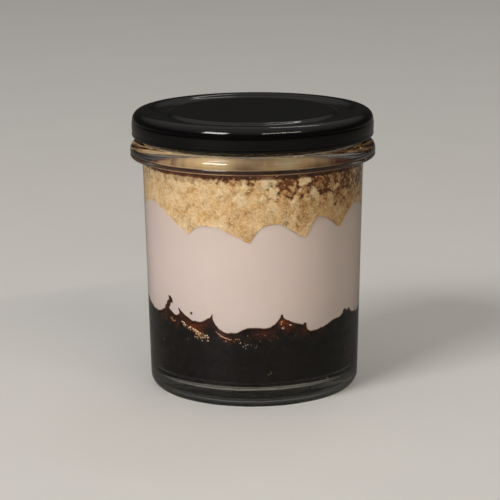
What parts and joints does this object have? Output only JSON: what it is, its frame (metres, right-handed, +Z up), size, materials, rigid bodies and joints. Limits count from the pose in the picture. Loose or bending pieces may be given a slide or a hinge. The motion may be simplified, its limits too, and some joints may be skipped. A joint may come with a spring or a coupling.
{
  "type": "layered cheesecake in a glass jar",
  "caption": "Clear glass jar with a black twist-off lid, filled with a dark syrupy base, a cream layer with scalloped edges and a biscuit crumb topping.",
  "frame": {"origin": "on the jar's axis, on the surface it stands on", "axes": "+Z up along the jar's axis; the side shown in the picture faces -Y"},
  "size_m": [0.0872, 0.0872, 0.1003],
  "materials": {
    "clear_glass": "clear, smooth, fire-polished",
    "black_lacquer": "high-gloss black lacquer on pressed steel",
    "dark_syrup": "wet, near-black, red-brown where thin",
    "cream": "smooth, slightly translucent off-white",
    "biscuit_crumb": "dry, granular, golden beige"
  },
  "bodies": {
    "root": {"jar": "clear_glass", "lid": "black_lacquer", "dark_base": "dark_syrup", "cream_layer": "cream", "crumb_topping": "biscuit_crumb"}
  },
  "joints": []
}
